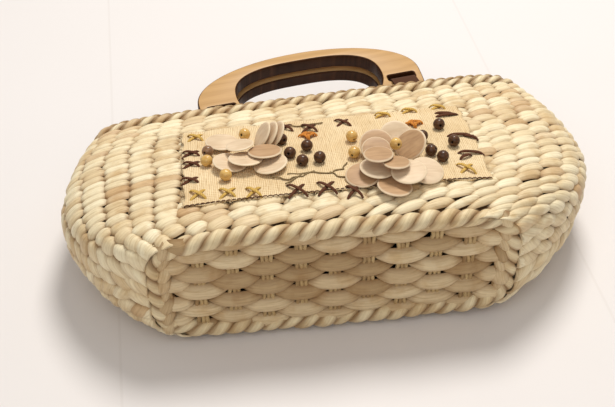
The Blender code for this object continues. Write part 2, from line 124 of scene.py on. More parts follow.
def profile(values, share):
    """A smooth curve through the values at STATIONS, read at a share of the height."""
    stations = np.array(STATIONS)
    heights = np.array(values)
    steps = np.diff(heights) / np.diff(stations)
    slopes = np.concatenate(([steps[0]], (steps[:-1] + steps[1:]) / 2.0, [steps[-1]]))
    i = int(np.clip(np.searchsorted(stations, share) - 1, 0, len(stations) - 2))
    span = stations[i + 1] - stations[i]
    u = (share - stations[i]) / span
    start = (2 * u**3 - 3 * u**2 + 1) * heights[i] + (u**3 - 2 * u**2 + u) * span * slopes[i]
    end = (3 * u**2 - 2 * u**3) * heights[i + 1] + (u**3 - u**2) * span * slopes[i + 1]
    return float(start + end)


def back_height(share):
    return max(0.0, profile(BACK_Z, share))


def outline(share, count, inset=0.0):
    """Evenly spaced points round the basket at a share of its height."""
    half = profile(HALF_LENGTH, share) - inset
    top = profile(FRONT_Z, share) - inset
    low = back_height(share) + inset
    power = 2.0 / profile(SQUARENESS, share)
    turn = np.linspace(-math.pi / 2, 1.5 * math.pi, 2401)
    x = half * np.sign(np.cos(turn)) * np.abs(np.cos(turn)) ** power
    z = (top - low) / 2 * np.sign(np.sin(turn)) * np.abs(np.sin(turn)) ** power
    run = np.concatenate(([0.0], np.cumsum(np.hypot(np.diff(x), np.diff(z)))))
    even = np.linspace(0.0, run[-1], count, endpoint=False)
    x = np.interp(even, run, x) + profile(MIDDLE_X, share)
    z = np.interp(even, run, z) + (top + low) / 2
    y = BASE_Y + share * (BODY_HEIGHT + MOUTH_SKEW * x)
    return np.stack([x, y, z], axis=-1)


def front_height(x, up):
    """Z of the front panel at x, at a distance up from the base."""
    share = np.clip(up / (BODY_HEIGHT + MOUTH_SKEW * x), 0, 1)
    across = min(0.98, abs(x - profile(MIDDLE_X, share)) / profile(HALF_LENGTH, share))
    top = profile(FRONT_Z, share)
    low = back_height(share)
    power = profile(SQUARENESS, share)
    return (top + low) / 2 + (top - low) / 2 * (1 - across**power) ** (1 / power)


def basket_grid():
    """Points and smoothed outward normals of the whole wall."""
    grid = np.stack([outline(share, GRID_COUNT) for share in np.linspace(0, 1, GRID_RINGS)])
    around = np.roll(grid, -1, axis=1) - np.roll(grid, 1, axis=1)
    normals = np.cross(np.gradient(grid, axis=0), around)
    for _ in range(6):
        normals = (np.roll(normals, 1, axis=1) + 2 * normals + np.roll(normals, -1, axis=1)) / 4
    return grid, unit(normals)


GRID, NORMALS = basket_grid()
REFERENCE_LENGTH = np.linalg.norm(np.roll(GRID[80], -1, axis=0) - GRID[80], axis=1).sum()


def on_wall(around, share):
    """Points and outward normals at shares of the way round and of the height."""
    row = np.clip(share, 0, 1) * (GRID_RINGS - 1)
    i = np.clip(np.floor(row).astype(int), 0, GRID_RINGS - 2)
    f = (row - i)[..., None]
    column = (around % 1.0) * GRID_COUNT
    j = np.floor(column).astype(int) % GRID_COUNT
    g = (column - np.floor(column))[..., None]
    k = (j + 1) % GRID_COUNT
    found = []
    for field in (GRID, NORMALS):
        low = field[i, j] * (1 - g) + field[i, k] * g
        high = field[i + 1, j] * (1 - g) + field[i + 1, k] * g
        found.append(low * (1 - f) + high * f)
    return found[0], unit(found[1])


def on_base(x, z):
    """Points and outward normals on the base, which bulges a little in the middle."""
    bulge = 0.0012 * np.cos((x - BASE_MIDDLE_X) * 14) * np.cos((z - 0.0417) * 38)
    points = np.stack([x, BASE_Y + 0.0042 - bulge, z], axis=-1)
    normals = np.zeros_like(points)
    normals[..., 1] = -1.0
    return points, normals


def on_base_end(z, x):
    """on_base for husks that run along z."""
    return on_base(x, z)


# ---------------------------------------------------------------- meshes

def new_object(name, data):
    item = bpy.data.objects.new(name, data)
    bpy.context.scene.collection.objects.link(item)
    return item


def new_mesh(name, points, faces, material, uv=None, painted_shading=None):
    """A smooth object with one material; the last argument is each point's painted shade (on disc rims a
    painted highlight), kept as the depth attribute.
    """
    mesh = bpy.data.meshes.new(name)
    points = np.asarray(points, dtype=float).reshape(-1, 3)
    mesh.from_pydata(points.tolist(), [], np.asarray(faces).tolist())
    if uv is not None:
        layer = mesh.uv_layers.new(name="strand")
        corners = np.empty(len(mesh.loops), dtype=int)
        mesh.loops.foreach_get("vertex_index", corners)
        layer.data.foreach_set("uv", np.asarray(uv, dtype=float).reshape(-1, 2)[corners].ravel())
    if painted_shading is not None:
        depth = mesh.attributes.new("depth", "FLOAT", "POINT")
        depth.data.foreach_set("value", np.asarray(painted_shading, dtype=float).ravel())
    mesh.shade_smooth()
    mesh.validate()
    mesh.update()
    mesh.materials.append(material)
    return new_object(name, mesh)


def finish_piece(piece, body, slot, *nodes):
    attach(piece, body)
    if nodes:
        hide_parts(*nodes)
    return piece


def bag_piece(slot, nodes, *mesh):
    """A piece that rides on the bag; nodes are the names of the CAD nodes it replaces."""
    return finish_piece(new_mesh(*mesh), "bag", slot, *nodes)


def grid_faces(count, rows, columns, wrap_rows=False, wrap_columns=False):
    """Quads of a number of grids of rows by columns points, numbered one after another."""
    i = np.arange(rows if wrap_rows else rows - 1)
    j = np.arange(columns if wrap_columns else columns - 1)
    i, j = np.meshgrid(i, j, indexing="ij")
    ahead, side = (i + 1) % rows, (j + 1) % columns
    one = np.stack([i * columns + j, i * columns + side,
                    ahead * columns + side, ahead * columns + j], axis=-1).reshape(-1, 4)
    return (one[None] + (np.arange(count) * rows * columns)[:, None, None]).reshape(-1, 4)


def per_husk(value):
    """A number as it is, or one value for each husk, shaped to spread over the husk's points."""
    return np.asarray(value)[:, None, None] if np.ndim(value) else value


def husks(place, middle_u, middle_v, half_u, half_v, scale, lean, top, dive, curl, along=17, across=8,
          fullness=2.6, steepness=2.4):
    """Lens-shaped stretches of flat husk. half_u and half_v are in the units of place; scale turns
    those units into metres for the texture; lean moves the far end up by that much of v; top is the
    height of the crown, and dive and curl are how far the ends and the long edges turn down."""
    count = len(middle_u)
    a = np.linspace(-1, 1, along)[None, :, None]
    b = np.linspace(-1, 1, across)[None, None, :]
    j = RNG.uniform(-1, 1, (8, count, 1, 1))
    half_u, half_v, lean = per_husk(half_u), per_husk(half_v), per_husk(lean)
    top, fullness, steepness = per_husk(top), per_husk(fullness), per_husk(steepness)
    width = np.maximum(1 - np.abs(a) ** (fullness + 0.5 * j[0]), 0.0) ** 0.62 * 0.93 + 0.07
    u = per_husk(middle_u) + half_u * (1 + 0.06 * j[1]) * (a + 0.05 * j[2]) + 0 * b
    edge = b * width * (1 + 0.08 * j[3])
    bend = lean * (1 + 0.35 * j[4]) * (a - 0.25 * a**3) + 0.10 * j[5] * half_v * (1 - a**2)
    v = per_husk(middle_v) + half_v * edge + bend
    fold = 0.00022 * np.sin(4.2 * b + 3 * j[6]) * (1 - a**2) + 0.00012 * np.sin(11 * b + 5 * j[7])
    lift = top * (1 + 0.25 * j[2]) - dive * np.abs(a) ** steepness - curl * np.abs(b) ** 2.6 + fold
    points, normals = place(u, v)
    points = points + normals * lift[..., None]
    seed = RNG.uniform(0, 60, (2, count, 1, 1))
    uv = np.stack([a * half_u * scale[0] + seed[0] + 0 * b, edge * half_v * scale[1] + seed[1]], axis=-1)
    # Painted shade: darker towards the ends, where the husks tuck under their neighbours, and along the
    # long edges where rows meet.
    end_shade = np.clip((np.abs(a) - 0.50) / 0.32, 0, 1) ** 1.5
    depth = np.clip(end_shade * (0.40 + 0.75 * np.abs(b)) + np.abs(b) ** 4 * 0.75 + 0 * u, 0, 1)
    return points, grid_faces(count, along, across), uv, depth


def tube(path, radius, sides, flat=1.0, reference=(0.0, 0.0, 1.0)):
    """Points, faces and texture coordinates of a tube along a path; flat squashes it."""
    path = np.asarray(path, dtype=float)
    ahead = unit(np.gradient(path, axis=0))
    side = np.cross(ahead, np.asarray(reference))
    side /= np.linalg.norm(side, axis=1, keepdims=True) + 1e-12
    up = np.cross(side, ahead)
    turn = np.linspace(0, 2 * math.pi, sides, endpoint=False)
    radius = np.broadcast_to(np.asarray(radius, dtype=float), (len(path),))[:, None, None]
    ring = np.cos(turn)[None, :, None] * side[:, None] + flat * np.sin(turn)[None, :, None] * up[:, None]
    points = path[:, None] + radius * ring
    uv = np.stack(np.broadcast_arrays(run_along(path)[:, None], (turn / 6.3)[None, :] * 0.01), axis=-1)
    return points, grid_faces(1, len(path), sides, wrap_columns=True), uv


def join(parts):
    """One set of points, faces and texture coordinates from many."""
    points, faces, uvs, start = [], [], [], 0
    for part_points, part_faces, part_uv in parts:
        flat = np.asarray(part_points).reshape(-1, 3)
        points.append(flat)
        faces.append(np.asarray(part_faces) + start)
        uvs.append(np.asarray(part_uv).reshape(-1, 2) + RNG.uniform(0, 40, 2))
        start += len(flat)
    return np.concatenate(points), np.concatenate(faces), np.concatenate(uvs)


def join_husks(parts):
    """One set of points, faces, texture coordinates and painted shade from many calls of husks."""
    points, uv = (np.concatenate([part[k].reshape(-1, width) for part in parts])
                  for k, width in ((0, 3), (2, 2)))
    depth = np.concatenate([part[3].ravel() for part in parts])
    starts = np.cumsum([0] + [part[0].size // 3 for part in parts[:-1]])
    return points, np.concatenate([part[1] + start for part, start in zip(parts, starts)]), uv, depth


def sew(name, parts, material, slot):
    """One piece of the bag from many tubes."""
    points, faces, uv = join(parts)
    bag_piece(slot, [], name, points, faces, material, uv)


def thicken(piece, thickness):
    solid = piece.modifiers.new("cloth", "SOLIDIFY")
    solid.thickness = thickness
    solid.offset = 0.0


def even_loop(points, step, rounding=math.floor):
    """A closed path resampled at an even spacing near step, and its length."""
    loop = np.concatenate([points, points[:1]])
    run = run_along(loop)
    at = np.linspace(0, run[-1], int(rounding(run[-1] / step)), endpoint=False)
    return np.stack([np.interp(at, run, column) for column in loop.T], axis=-1), run[-1]


def rope(path, strands, radius, spacing, plump, sides):
    """Twisted strands along a closed path; spacing is the distance between two turns seen."""
    path, length = even_loop(path, spacing / 7, round)
    turns = max(1, round(length / (spacing * strands)))
    ahead = loop_direction(path)
    first = unit(np.cross(ahead, (0.0, 1.0, 0.0)))
    second = np.cross(first, ahead)
    share = np.arange(len(path)) / len(path)
    parts = []
    strand_radius = radius * 0.52 * plump
    for strand in range(strands):
        turn = 2 * math.pi * (turns * share + strand / strands)
        out = np.cos(turn)[:, None] * first + np.sin(turn)[:, None] * second
        wander = 1 + 0.10 * np.sin(share * 97 + strand * 3) + 0.07 * np.sin(share * 211 + strand)
        middle = path + out * (radius - strand_radius * 0.92) * wander[:, None]
        across = unit(np.cross(loop_direction(middle), out))
        around = np.linspace(0, 2 * math.pi, sides, endpoint=False)
        thick = strand_radius * wander[:, None, None]
        ring = 0.95 * np.cos(around)[None, :, None] * out[:, None]
        ring = ring + 1.16 * np.sin(around)[None, :, None] * across[:, None]
        points = middle[:, None] + thick * ring
        uv = np.broadcast_arrays((share * length)[:, None], (around / 6.3 * 0.012)[None])
        uv = np.stack(uv, axis=-1)
        parts.append((points, grid_faces(1, len(path), sides, True, True), uv))
    return join(parts)


def rope_painted_shade(points, sides):
    """Painted shade of each point of a rope: the flanks that press against the next strand are darkest.
    """
    turn = np.linspace(0, 2 * math.pi, sides, endpoint=False)
    return np.tile(np.abs(np.sin(turn)) ** 3, len(points) // sides)


# ---------------------------------------------------------------- materials

WHITE = (1.0, 1.0, 1.0)


class Nodes:
    """Small helper to build a node tree."""

    def __init__(self, name):
        self.material = bpy.data.materials.new(name)
        self.material.use_nodes = True
        self.tree = self.material.node_tree
        self.shader = self.tree.nodes["Principled BSDF"]

    def add(self, kind, **settings):
        node = self.tree.nodes.new(kind)
        for key, value in settings.items():
            setattr(node, key, value)
        return node

    # The depth attribute: painted shade on husks, rope flanks and bead holes, and a painted highlight on
    # disc rims.
    def depth(self):
        return self.add("ShaderNodeAttribute", attribute_name="depth").outputs["Fac"]

    def link(self, output, target):
        self.tree.links.new(output, target)

    def coordinates(self, kind, scale=(1.0, 1.0, 1.0)):
        source = self.add("ShaderNodeTexCoord").outputs[kind]
        mapping = self.add("ShaderNodeMapping")
        mapping.inputs["Scale"].default_value = scale
        self.link(source, mapping.inputs["Vector"])
        return mapping.outputs["Vector"]

    def noise(self, kind, scale, detail=3.0, rough=0.55, stretch=(1.0, 1.0, 1.0)):
        node = self.add("ShaderNodeTexNoise")
        node.inputs["Scale"].default_value = scale
        node.inputs["Detail"].default_value = detail
        node.inputs["Roughness"].default_value = rough
        self.link(self.coordinates(kind, stretch), node.inputs["Vector"])
        return node.outputs["Fac"]

    def wave(self, direction, scale, distortion, detail=2.0, detail_scale=1.0, stretch=(1.0, 1.0, 1.0)):
        node = self.add("ShaderNodeTexWave", bands_direction=direction)
        node.inputs["Scale"].default_value = scale
        node.inputs["Distortion"].default_value = distortion
        node.inputs["Detail"].default_value = detail
        node.inputs["Detail Scale"].default_value = detail_scale
        self.link(self.coordinates("UV", stretch), node.inputs["Vector"])
        return node.outputs["Fac"]

    def ramp(self, value, stops):
        node = self.add("ShaderNodeValToRGB")
        ramp = node.color_ramp
        while len(ramp.elements) < len(stops):
            ramp.elements.new(0.5)
        for element, (place, colour) in zip(ramp.elements, stops):
            element.position = place
            element.color = (*colour, 1.0)
        self.link(value, node.inputs["Fac"])
        return node.outputs["Color"]

    def mix(self, factor, first, second, blend="MIX"):
        node = self.add("ShaderNodeMix", data_type="RGBA", blend_type=blend)
        for value, key in ((factor, "Factor"), (first, "A"), (second, "B")):
            sockets = [s for s in node.inputs if s.name == key and s.enabled]
            if isinstance(value, bpy.types.NodeSocket):
                self.link(value, sockets[0])
            elif isinstance(value, (int, float)):
                sockets[0].default_value = value
            else:
                sockets[0].default_value = (*value, 1.0)
        return [s for s in node.outputs if s.enabled][0]

    def multiply(self, factor, colour, value, stops):
        """The colour darkened by a ramp over value."""
        return self.mix(factor, colour, self.ramp(value, stops), "MULTIPLY")

    def math(self, operation, first, second=0.0):
        node = self.add("ShaderNodeMath", operation=operation)
        for value, socket in ((first, node.inputs[0]), (second, node.inputs[1])):
            if isinstance(value, bpy.types.NodeSocket):
                self.link(value, socket)
            else:
                socket.default_value = value
        return node.outputs[0]

    def bump(self, height, distance, strength=1.0):
        node = self.add("ShaderNodeBump")
        node.inputs["Distance"].default_value = distance
        node.inputs["Strength"].default_value = strength
        self.link(height, node.inputs["Height"])
        self.link(node.outputs["Normal"], self.shader.inputs["Normal"])

    def done(self, colour, roughness, specular=0.35, sheen=0.0, coat=0.0, coat_roughness=0.2):
        self.link(colour, self.shader.inputs["Base Color"])
        if isinstance(roughness, bpy.types.NodeSocket):
            self.link(roughness, self.shader.inputs["Roughness"])
        else:
            self.shader.inputs["Roughness"].default_value = roughness
        for key, value in (("Specular IOR Level", specular), ("Sheen Weight", sheen),
                           ("Coat Weight", coat), ("Coat Roughness", coat_roughness)):
            self.shader.inputs[key].default_value = value
        return self.material


def straw_material(name, pale, middle, tan, stain):
    """Dried husk: pale to tan from strand to strand, with long fibres and darker stains, and painted
    shade towards dark brown where the depth attribute is high.
    """
    nodes = Nodes(name)
    strand = nodes.noise("UV", 0.9, 0.0)
    base = nodes.ramp(strand, [(0.30, tan), (0.45, middle), (0.58, pale), (0.75, middle)])
    tint = nodes.noise("UV", 1.7, 0.0, stretch=(0.7, 0.7, 1.0))
    stained = nodes.ramp(tint, [(0.66, (0, 0, 0)), (0.76, (1, 1, 1))])
    base = nodes.mix(nodes.math("MULTIPLY", stained, 0.55), base, stain)
    fibre = nodes.noise("UV", 1.0, 4.0, 0.65, stretch=(60.0, 900.0, 1.0))
    base = nodes.multiply(0.75, base, fibre, [(0.30, (0.66, 0.56, 0.42)), (0.50, (0.93, 0.90, 0.84)),
                                              (0.70, (1.08, 1.06, 1.0))])
    blotch = nodes.noise("Object", 60.0, 4.0)
    base = nodes.multiply(0.6, base, blotch, [(0.34, (0.74, 0.60, 0.42)), (0.52, WHITE)])
    # Painted shade: dark brown where the depth attribute is high.
    base = nodes.mix(nodes.math("MULTIPLY", nodes.depth(), 0.85), base, (0.26, 0.13, 0.045))
    nodes.bump(fibre, 0.0005, 0.8)
    shine = nodes.math("ADD", nodes.math("MULTIPLY", fibre, 0.25), 0.38)
    return nodes.done(base, shine, specular=0.35, sheen=0.05)


def plain_material(name, scale, detail, dark, light, bump, roughness, specular=0.35, metallic=0.0):
    """A colour that drifts between two, with a fine bump."""
    nodes = Nodes(name)
    noise = nodes.noise("Object", scale, detail)
    colour = nodes.ramp(noise, [(0.3, dark), (0.7, light)])
    nodes.bump(noise, *bump)
    nodes.shader.inputs["Metallic"].default_value = metallic
    return nodes.done(colour, roughness, specular)


def cloth_material(name, light, dark, threads):
    """Plain weave from two crossed waves along the texture coordinates."""
    nodes = Nodes(name)
    waves = [nodes.wave(direction, threads, 0.3, 2.0, 1.6) for direction in ("X", "Y")]
    weave = nodes.math("MAXIMUM", *waves)
    noise = nodes.noise("UV", 90.0, 4.0)
    colour = nodes.ramp(weave, [(0.35, dark), (0.85, light)])
    colour = nodes.multiply(0.7, colour, noise, [(0.3, (0.84, 0.78, 0.70)), (0.6, WHITE)])
    nodes.bump(weave, 0.0004)
    return nodes.done(colour, 0.9, specular=0.12, sheen=0.05)


def burlap_material():
    """Coarse jute with strong ribs one way and loose slubs."""
    nodes = Nodes("burlap")
    ribs = nodes.wave("X", 280.0, 6.0, 2.0, 0.6, stretch=(1.0, 0.30, 1.0))
    cross = nodes.wave("Y", 190.0, 1.5, stretch=(0.4, 1.0, 1.0))
    weave = nodes.math("ADD", nodes.math("MULTIPLY", ribs, 0.60), nodes.math("MULTIPLY", cross, 0.40))
    slub = nodes.noise("UV", 1.0, 4.0, stretch=(1100.0, 90.0, 1.0))
    colour = nodes.ramp(weave, [(0.10, (0.64, 0.46, 0.26)), (0.45, (0.80, 0.63, 0.39)),
                                (0.9, (0.88, 0.73, 0.49))])
    colour = nodes.multiply(0.6, colour, slub, [(0.30, (0.62, 0.50, 0.36)), (0.46, WHITE)])
    patch = nodes.noise("UV", 28.0, 3.0)
    colour = nodes.multiply(0.8, colour, patch, [(0.35, (0.90, 0.82, 0.70)), (0.65, (1.05, 1.03, 1.0))])
    nodes.bump(nodes.math("ADD", weave, nodes.math("MULTIPLY", slub, 0.8)), 0.0005, 0.7)
    return nodes.done(colour, 0.92, specular=0.10, sheen=0.04)


def disc_material(name, light, dark):
    """Thin turned wood, with a painted highlight that makes it paler towards its rim."""
    nodes = Nodes(name)
    grain = nodes.noise("Object", 90.0, 2.0, 0.5, stretch=(1.0, 6.0, 2.0))
    colour = nodes.ramp(grain, [(0.32, dark), (0.62, light)])
    cloud = nodes.noise("Object", 70.0, 2.0)
    colour = nodes.multiply(0.8, colour, cloud, [(0.35, (0.88, 0.84, 0.78)), (0.65, (1.04, 1.02, 1.0))])
    colour = nodes.mix(nodes.math("MULTIPLY", nodes.depth(), 0.65), colour, (0.86, 0.71, 0.50))
    nodes.bump(grain, 0.00012, 0.5)
    return nodes.done(colour, 0.46, specular=0.25, coat=0.05, coat_roughness=0.3)


def bead_material(name, light, dark, coat):
    nodes = Nodes(name)
    grain = nodes.noise("Object", 260.0, 4.0, 0.6, stretch=(1.0, 1.0, 6.0))
    colour = nodes.ramp(grain, [(0.34, dark), (0.66, light)])
    # Painted shade: near black at the two ends of the bead's hole.
    colour = nodes.mix(nodes.depth(), colour, (0.02, 0.012, 0.008))
    nodes.bump(grain, 0.00008, 0.4)
    return nodes.done(colour, 0.36, specular=0.20, coat=coat, coat_roughness=0.10)


def handle_face_material():
    nodes = Nodes("handle_face")
    grain = nodes.wave("Y", 42.0, 5.0, 3.0, 1.2, stretch=(0.35, 1.0, 1.0))
    fine = nodes.noise("UV", 1.0, 4.0, 0.6, stretch=(40.0, 900.0, 1.0))
    colour = nodes.ramp(grain, [(0.0, (0.50, 0.290, 0.110)), (0.5, (0.53, 0.310, 0.122)),
                                (1.0, (0.555, 0.330, 0.132))])
    colour = nodes.multiply(0.35, colour, fine, [(0.32, (0.80, 0.72, 0.64)), (0.55, WHITE)])
    nodes.bump(fine, 0.0001, 0.4)
    return nodes.done(colour, 0.45, specular=0.3, coat=0.10, coat_roughness=0.25)


def handle_edge_material():
    nodes = Nodes("handle_edge")
    fine = nodes.noise("UV", 1.0, 4.0, 0.6, stretch=(30.0, 1200.0, 1.0))
    colour = nodes.ramp(fine, [(0.30, (0.030, 0.010, 0.004)), (0.60, (0.075, 0.027, 0.010)),
                               (0.80, (0.16, 0.065, 0.025))])
    nodes.bump(fine, 0.0001, 0.3)
    return nodes.done(colour, 0.38, specular=0.12, coat=0.12, coat_roughness=0.06)


def yarn_material(name, light, dark):
    """Twisted thread."""
    nodes = Nodes(name)
    twist = nodes.wave("DIAGONAL", 420.0, 1.5)
    colour = nodes.mix(nodes.noise("UV", 240.0), dark, light)
    colour = nodes.multiply(0.8, colour, twist, [(0.1, (0.62, 0.58, 0.55)), (0.6, WHITE)])
    nodes.bump(twist, 0.0003, 0.8)
    return nodes.done(colour, 0.8, specular=0.12, sheen=0.03)


def floor_material():
    """Pale boards with faint slanted seams."""
    nodes = Nodes("floor")
    noise = nodes.noise("Object", 3.0, 3.0)
    colour = nodes.ramp(noise, [(0.3, (0.765, 0.722, 0.700)), (0.7, (0.785, 0.742, 0.722))])
    split = nodes.add("ShaderNodeSeparateXYZ")
    nodes.link(nodes.coordinates("Object", (1.0, 0.04, 1.0)), split.inputs[0])
    across = nodes.math("ADD", split.outputs["X"], split.outputs["Y"])
    seam = nodes.math("PINGPONG", nodes.math("ADD", across, SEAM_SHIFT), BOARD_WIDTH / 2)
    colour = nodes.multiply(0.6, colour, nodes.math("MULTIPLY", seam, 100.0),
                            [(0.05, (0.93, 0.92, 0.91)), (0.12, WHITE)])
    return nodes.done(colour, 0.6, specular=0.2)


PALE, MIDDLE, TAN = (0.93, 0.83, 0.60), (0.86, 0.73, 0.49), (0.76, 0.60, 0.37)
STAIN = (0.52, 0.27, 0.09)
STRAW = straw_material("straw", PALE, MIDDLE, TAN, STAIN)
# Darker than the wall's straw: painted shade for the base, which faces away from the key light.
BASE_STRAW = straw_material("base_straw", (0.80, 0.65, 0.42), (0.66, 0.50, 0.30), (0.48, 0.33, 0.17),
                            (0.38, 0.21, 0.09))
RIM_STRAW = straw_material("rim_straw", (0.66, 0.52, 0.30), (0.52, 0.38, 0.20), (0.40, 0.27, 0.13),
                           (0.30, 0.17, 0.07))
STAKE_STRAW = straw_material("stake_straw", (0.60, 0.44, 0.22), (0.50, 0.35, 0.17), (0.40, 0.26, 0.12),
                             (0.30, 0.17, 0.07))
CORD_STRAW = straw_material("cord_straw", (0.90, 0.78, 0.54), (0.85, 0.71, 0.46), (0.79, 0.63, 0.38),
                            STAIN)
# A dark sheet under the husks that stands in for the shade in the gaps between them: painted shade.
STRAW_SHADOW_SHEET = plain_material("straw_shadow", 300.0, 3.0, (0.05, 0.022, 0.008), (0.17, 0.09, 0.035),
                      (0.0006, 1.0), 0.9)
BURLAP = burlap_material()
LINING = cloth_material("lining_cloth", (0.72, 0.63, 0.47), (0.54, 0.44, 0.31), 330.0)
TAPE = cloth_material("strap_tape", (0.20, 0.095, 0.048), (0.085, 0.036, 0.018), 300.0)
BROWN_YARN = yarn_material("brown_yarn", (0.19, 0.070, 0.032), (0.085, 0.030, 0.015))
YELLOW_YARN = yarn_material("yellow_yarn", (0.88, 0.60, 0.16), (0.66, 0.38, 0.09))
ORANGE_YARN = yarn_material("orange_yarn", (0.86, 0.36, 0.06), (0.66, 0.22, 0.04))
STEM_YARN = yarn_material("stem_yarn", (0.48, 0.34, 0.17), (0.25, 0.17, 0.08))
PALE_DISC = disc_material("petal_wood", (0.75, 0.59, 0.41), (0.67, 0.50, 0.33))
# Brown wood, also used as painted shade on the front discs that tilt away from the light.
BROWN_AND_SHADED_DISC = disc_material("petal_wood_brown_and_shaded", (0.52, 0.33, 0.18), (0.43, 0.26, 0.14))
DARK_BEAD = bead_material("dark_wood", (0.120, 0.050, 0.018), (0.045, 0.017, 0.007), 0.22)
YELLOW_BEAD = bead_material("pale_wood", (0.74, 0.47, 0.14), (0.56, 0.31, 0.08), 0.6)
BROWN_BEAD = bead_material("brown_wood", (0.32, 0.17, 0.08), (0.18, 0.09, 0.04), 0.6)
HANDLE_FACE = handle_face_material()
HANDLE_EDGE = handle_edge_material()
METAL = plain_material("snap_metal", 400.0, 4.0, (0.62, 0.48, 0.24), (0.80, 0.68, 0.42),
                       (0.00005, 0.4), 0.28, specular=0.5, metallic=1.0)
BOARD = plain_material("fibre_board", 500.0, 5.0, (0.28, 0.20, 0.13), (0.46, 0.36, 0.25),
                       (0.0003, 0.6), 0.85)


# ---------------------------------------------------------------- the basket

def column_places(length, offset):
    """Shares round a row of the given length that keep the columns straight up the front and back."""
    plain = (np.arange(COLUMNS) + offset) / COLUMNS
    from_top = plain - 0.5
    apart = np.abs(from_top) * 2
    ease = np.clip((apart - 0.15) / 0.70, 0, 1)
    stretch = min(0.17, REFERENCE_LENGTH / length - 1)
    placed = apart + stretch * (apart - ease * ease * (3 - 2 * ease))
    return 0.5 + np.sign(from_top) * placed / 2


def make_wall():
    """Rows of husks; the rows below 0 are short ones that fill the two ends of the base."""
    parts = []
    for row in range(-2, WALL_ROWS):
        level = (row + 0.5) / WALL_ROWS
        pitch = (ROWS_TO - ROWS_FROM) / WALL_ROWS * (1.14 - 0.28 * level)
        share = ROWS_FROM + (ROWS_TO - ROWS_FROM) * level * (1.14 - 0.14 * level)
        ring = outline(share, 240)
        length = np.linalg.norm(np.roll(ring, -1, axis=0) - ring, axis=1).sum()
        offset = 0.25 + 0.10 * math.sin(row * 0.6) + 0.05 * math.sin(row * 2.7)
        middle = column_places(length, offset)
        spread = ((np.roll(middle, -1) - np.roll(middle, 1)) % 1.0) / 2
        middle = middle + RNG.uniform(-0.0014, 0.0014, COLUMNS)
        shares = np.full(COLUMNS, share) + RNG.uniform(-0.003, 0.003, COLUMNS)
        if row < 0:
            spots = on_wall(middle, np.full(COLUMNS, 0.03))[0]
            keep = np.abs(spots[:, 0] - BASE_MIDDLE_X) > 0.092
            middle, spread = middle[keep], spread[keep]
            shares = shares[keep] + (0.006 if row == -1 else 0.034)
        spots = on_wall(middle, shares)[0]
        rightness = np.clip(spots[:, 0] / 0.16 * 0.5 + 0.5, 0, 1)
        in_front = spots[:, 2] > FRONT_FROM_Z
        upward = np.where(in_front, 1.0, -1.0)
        up = spots[:, 1] - BASE_Y - PATCH_SKEW * spots[:, 0]
        covered = in_front & (spots[:, 0] > PATCH_LEFT) & (spots[:, 0] < PATCH_RIGHT)
        covered &= (up > PATCH_LOW) & (up < PATCH_HIGH)
        top = np.where(covered, 0.0, 0.0012)
        ends = max(1 - 3.5 * level, 6 * level - 4.7)
        twisted = np.clip(np.maximum(1.5 * rightness - 0.25, ends), 0, 1)
        made = husks(on_wall, middle, shares, (0.63 + 0.13 * twisted) * spread, 0.62 * pitch,
                     (length, BODY_HEIGHT), -(0.16 + 0.34 * twisted) * pitch * upward, top,
                     0.0042, 0.0018, fullness=3.2 - 1.1 * twisted, steepness=5.0 - 2.2 * twisted)
        parts.append(made)
    points, faces, uv, depth = join_husks(parts)
    bag_piece("straw", ["woven_wall"], "wall_weave", points, faces, STRAW, uv, depth)

    # Painted shade: a dark sheet under the husks, seen through the gaps between them.
    around = np.linspace(0, 1, 240, endpoint=False)
    shares = np.linspace(0.01, 0.985, 60)
    s, t = np.meshgrid(around, shares)
    outer, normals = on_wall(s, t)
    faces = grid_faces(1, len(shares), len(around), wrap_columns=True)
    bag_piece("straw", [], "wall_core", outer - SHADOW_SHEET_DEPTH * normals, faces, STRAW_SHADOW_SHEET)


def add_rope(name, path, radius, spacing, plump, sides, material, *nodes):
    points, faces, uv = rope(path, 2, radius, spacing, plump, sides)
    # Painted shade on the flanks of the strands.
    bag_piece("straw_cord", nodes, name, points, faces, material, uv, rope_painted_shade(points, sides))


def make_cords():
    path = outline(0.0, 400, inset=BASE_CORD_RADIUS)
    path[:, 1] += BASE_CORD_RADIUS
    add_rope("base_cord_strands", path, BASE_CORD_RADIUS + 0.0013, 0.0108, 1.14, 12, CORD_STRAW,
             "base_edge_cord")
    add_rope("rim_strands", outline(RIM_STATION, 400, inset=0.0017), 0.0026, 0.0072, 1.05, 8, RIM_STRAW,
             "mouth_rim_cord")
    add_rope("upper_twist", outline(0.953, 400, inset=0.0014), 0.0041, 0.0100, 1.08, 12, CORD_STRAW)


